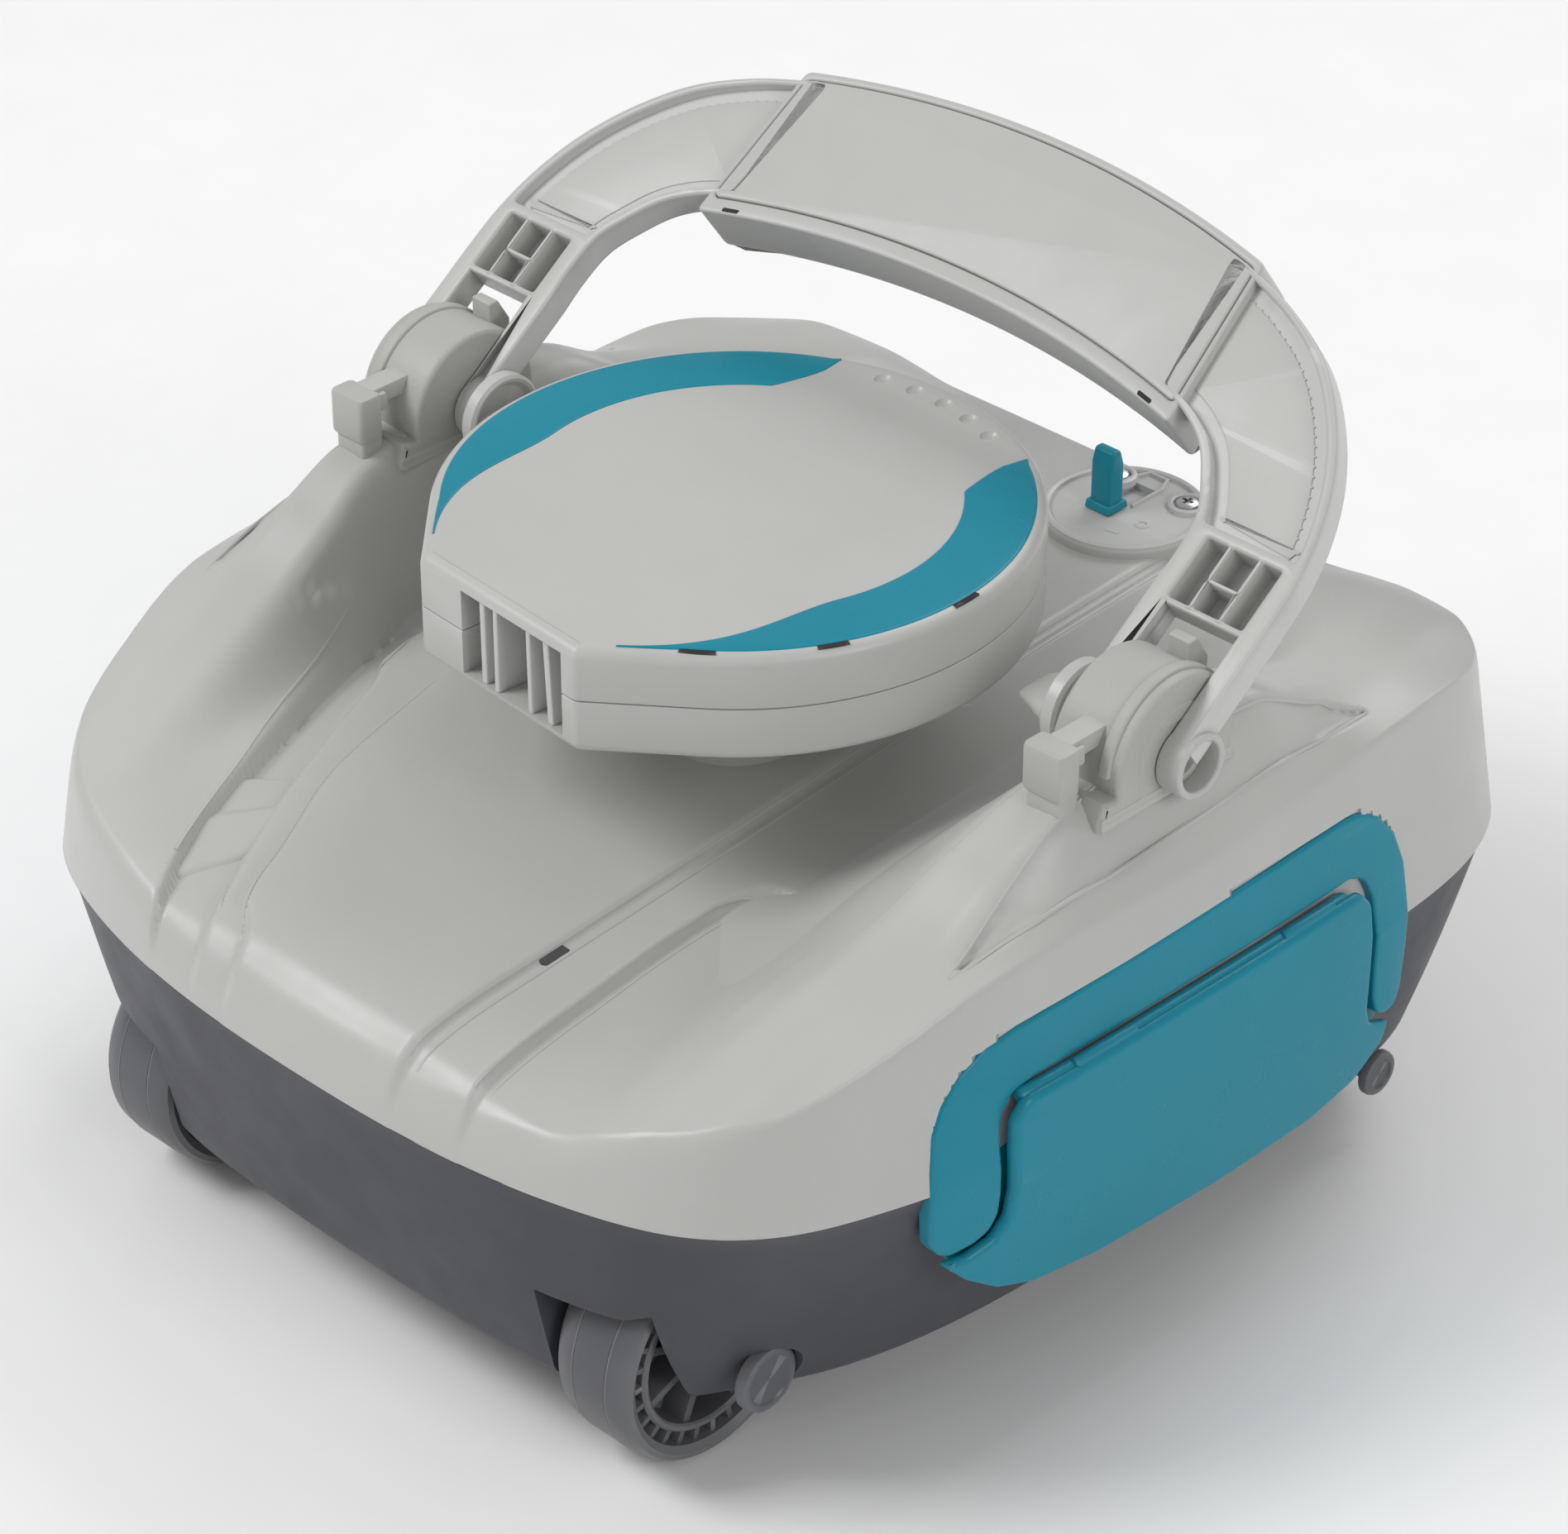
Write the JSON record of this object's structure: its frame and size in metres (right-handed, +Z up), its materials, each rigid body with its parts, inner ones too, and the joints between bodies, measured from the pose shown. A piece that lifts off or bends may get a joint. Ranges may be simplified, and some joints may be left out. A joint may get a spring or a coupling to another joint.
{
  "type": "pool cleaner",
  "caption": "Cordless jet-driven robotic pool cleaner with a steerable outlet drum, swinging float handle, side latches and wheels.",
  "frame": {"origin": "on the ground, midway between the left and right flanks and between the front and rear of the body", "axes": "+Z up; -Y is the front, where the large wheels and the outlet are; +X is the object's left-hand side as it faces forward, the side with the visible flank frame"},
  "size_m": [0.334, 0.3448, 0.2686],
  "materials": {
    "shell_grey": "satin moulded, fine texture",
    "hub_grey": "coarser moulded texture",
    "base_grey": "satin moulded",
    "wheel_grey": "satin moulded, slightly worn tread",
    "accent_teal": "glossy moulded",
    "steel": "bright",
    "mesh": "fine mesh",
    "seal_rubber": "matte",
    "battery_wrap": "shrink wrap",
    "circuit_green": "lacquered"
  },
  "bodies": {
    "hull": {"upper_shell": "shell_grey", "base_tray": "base_grey", "suction_plate": "base_grey", "base_screws": "steel", "inlet_hinge": "steel", "filter_frame": "base_grey", "filter_screen": "mesh", "side_frame_left": "accent_teal", "side_frame_right": "accent_teal", "latch_pins": "steel", "handle_bracket_left": "hub_grey", "handle_bracket_right": "hub_grey", "pivot_pins": "hub_grey", "turret_ring": "shell_grey", "switch_cover": "shell_grey", "deck_screws": "steel", "axle_pins": "wheel_grey", "pump_duct": "base_grey", "motor_housing": "base_grey", "motor": "steel", "shaft_seal": "seal_rubber", "battery_pack": "battery_wrap", "control_board": "circuit_green"},
    "turret": {"turret_lower": "shell_grey", "turret_upper": "shell_grey", "turret_insert_left": "accent_teal", "turret_insert_right": "accent_teal", "nozzle_vanes": "shell_grey", "turret_retainer": "shell_grey"},
    "handle": {"handle_frame": "shell_grey", "grip_shell": "shell_grey", "grip_cover": "shell_grey"},
    "knob_left": {"pivot_knob_left": "shell_grey"},
    "knob_right": {"pivot_knob_right": "shell_grey"},
    "lock_left": {"handle_lock_left": "hub_grey"},
    "lock_right": {"handle_lock_right": "hub_grey"},
    "latch_left": {"side_latch_left": "accent_teal"},
    "latch_right": {"side_latch_right": "accent_teal"},
    "front_wheel_left": {"front_wheel_left": "wheel_grey"},
    "front_wheel_right": {"front_wheel_right": "wheel_grey"},
    "rear_wheel_left": {"rear_wheel_left": "wheel_grey"},
    "rear_wheel_right": {"rear_wheel_right": "wheel_grey"},
    "switch": {"switch_lever": "accent_teal"},
    "inlet_flap": {"inlet_flap": "base_grey"},
    "impeller": {"impeller": "accent_teal", "motor_shaft": "steel"}
  },
  "joints": [
    {"name": "turret_turn", "type": "hinge", "parent": "hull", "child": "turret", "pos_m": [0, -0.006, 0.172], "axis": [0, 0, 1], "range_deg": [-12.4, 20.8]},
    {"name": "handle_swing", "type": "hinge", "parent": "hull", "child": "handle", "pos_m": [0, 0.0085, 0.179], "axis": [1, 0, 0], "range_deg": [-30, 98]},
    {"name": "knob_left_turn", "type": "hinge", "parent": "handle", "child": "knob_left", "pos_m": [-0.11, 0.0085, 0.179], "axis": [1, 0, 0], "range_deg": [-90, 0]},
    {"name": "knob_right_turn", "type": "hinge", "parent": "handle", "child": "knob_right", "pos_m": [0.11, 0.0085, 0.179], "axis": [1, 0, 0], "range_deg": [-90, 0]},
    {"name": "lock_left_slide", "type": "slide", "parent": "hull", "child": "lock_left", "axis": [0, -1, 0], "range_m": [0, 0.006], "stiffness_N_per_m": 300},
    {"name": "lock_right_slide", "type": "slide", "parent": "hull", "child": "lock_right", "axis": [0, -1, 0], "range_m": [0, 0.006], "stiffness_N_per_m": 300},
    {"name": "latch_left_swing", "type": "hinge", "parent": "hull", "child": "latch_left", "pos_m": [-0.164, -0.0044, 0.121], "axis": [0, 1, 0], "range_deg": [0, 75]},
    {"name": "latch_right_swing", "type": "hinge", "parent": "hull", "child": "latch_right", "pos_m": [0.164, -0.0044, 0.121], "axis": [0, -1, 0], "range_deg": [0, 75]},
    {"name": "front_wheel_left_spin", "type": "hinge", "parent": "hull", "child": "front_wheel_left", "pos_m": [-0.0924, -0.121, 0.035], "axis": [1, 0, 0], "continuous": true},
    {"name": "front_wheel_right_spin", "type": "hinge", "parent": "hull", "child": "front_wheel_right", "pos_m": [0.0924, -0.121, 0.035], "axis": [1, 0, 0], "continuous": true},
    {"name": "rear_wheel_left_spin", "type": "hinge", "parent": "hull", "child": "rear_wheel_left", "pos_m": [-0.112, 0.112, 0.02], "axis": [1, 0, 0], "continuous": true},
    {"name": "rear_wheel_right_spin", "type": "hinge", "parent": "hull", "child": "rear_wheel_right", "pos_m": [0.112, 0.112, 0.02], "axis": [1, 0, 0], "continuous": true},
    {"name": "switch_slide", "type": "slide", "parent": "hull", "child": "switch", "axis": [0, 1, 0], "range_m": [0, 0.012]},
    {"name": "inlet_flap_lift", "type": "hinge", "parent": "hull", "child": "inlet_flap", "pos_m": [0, -0.027, 0.0316], "axis": [1, 0, 0], "range_deg": [0, 45]},
    {"name": "impeller_spin", "type": "hinge", "parent": "hull", "child": "impeller", "pos_m": [0, -0.006, 0.117], "axis": [0, 0, 1], "continuous": true}
  ]
}
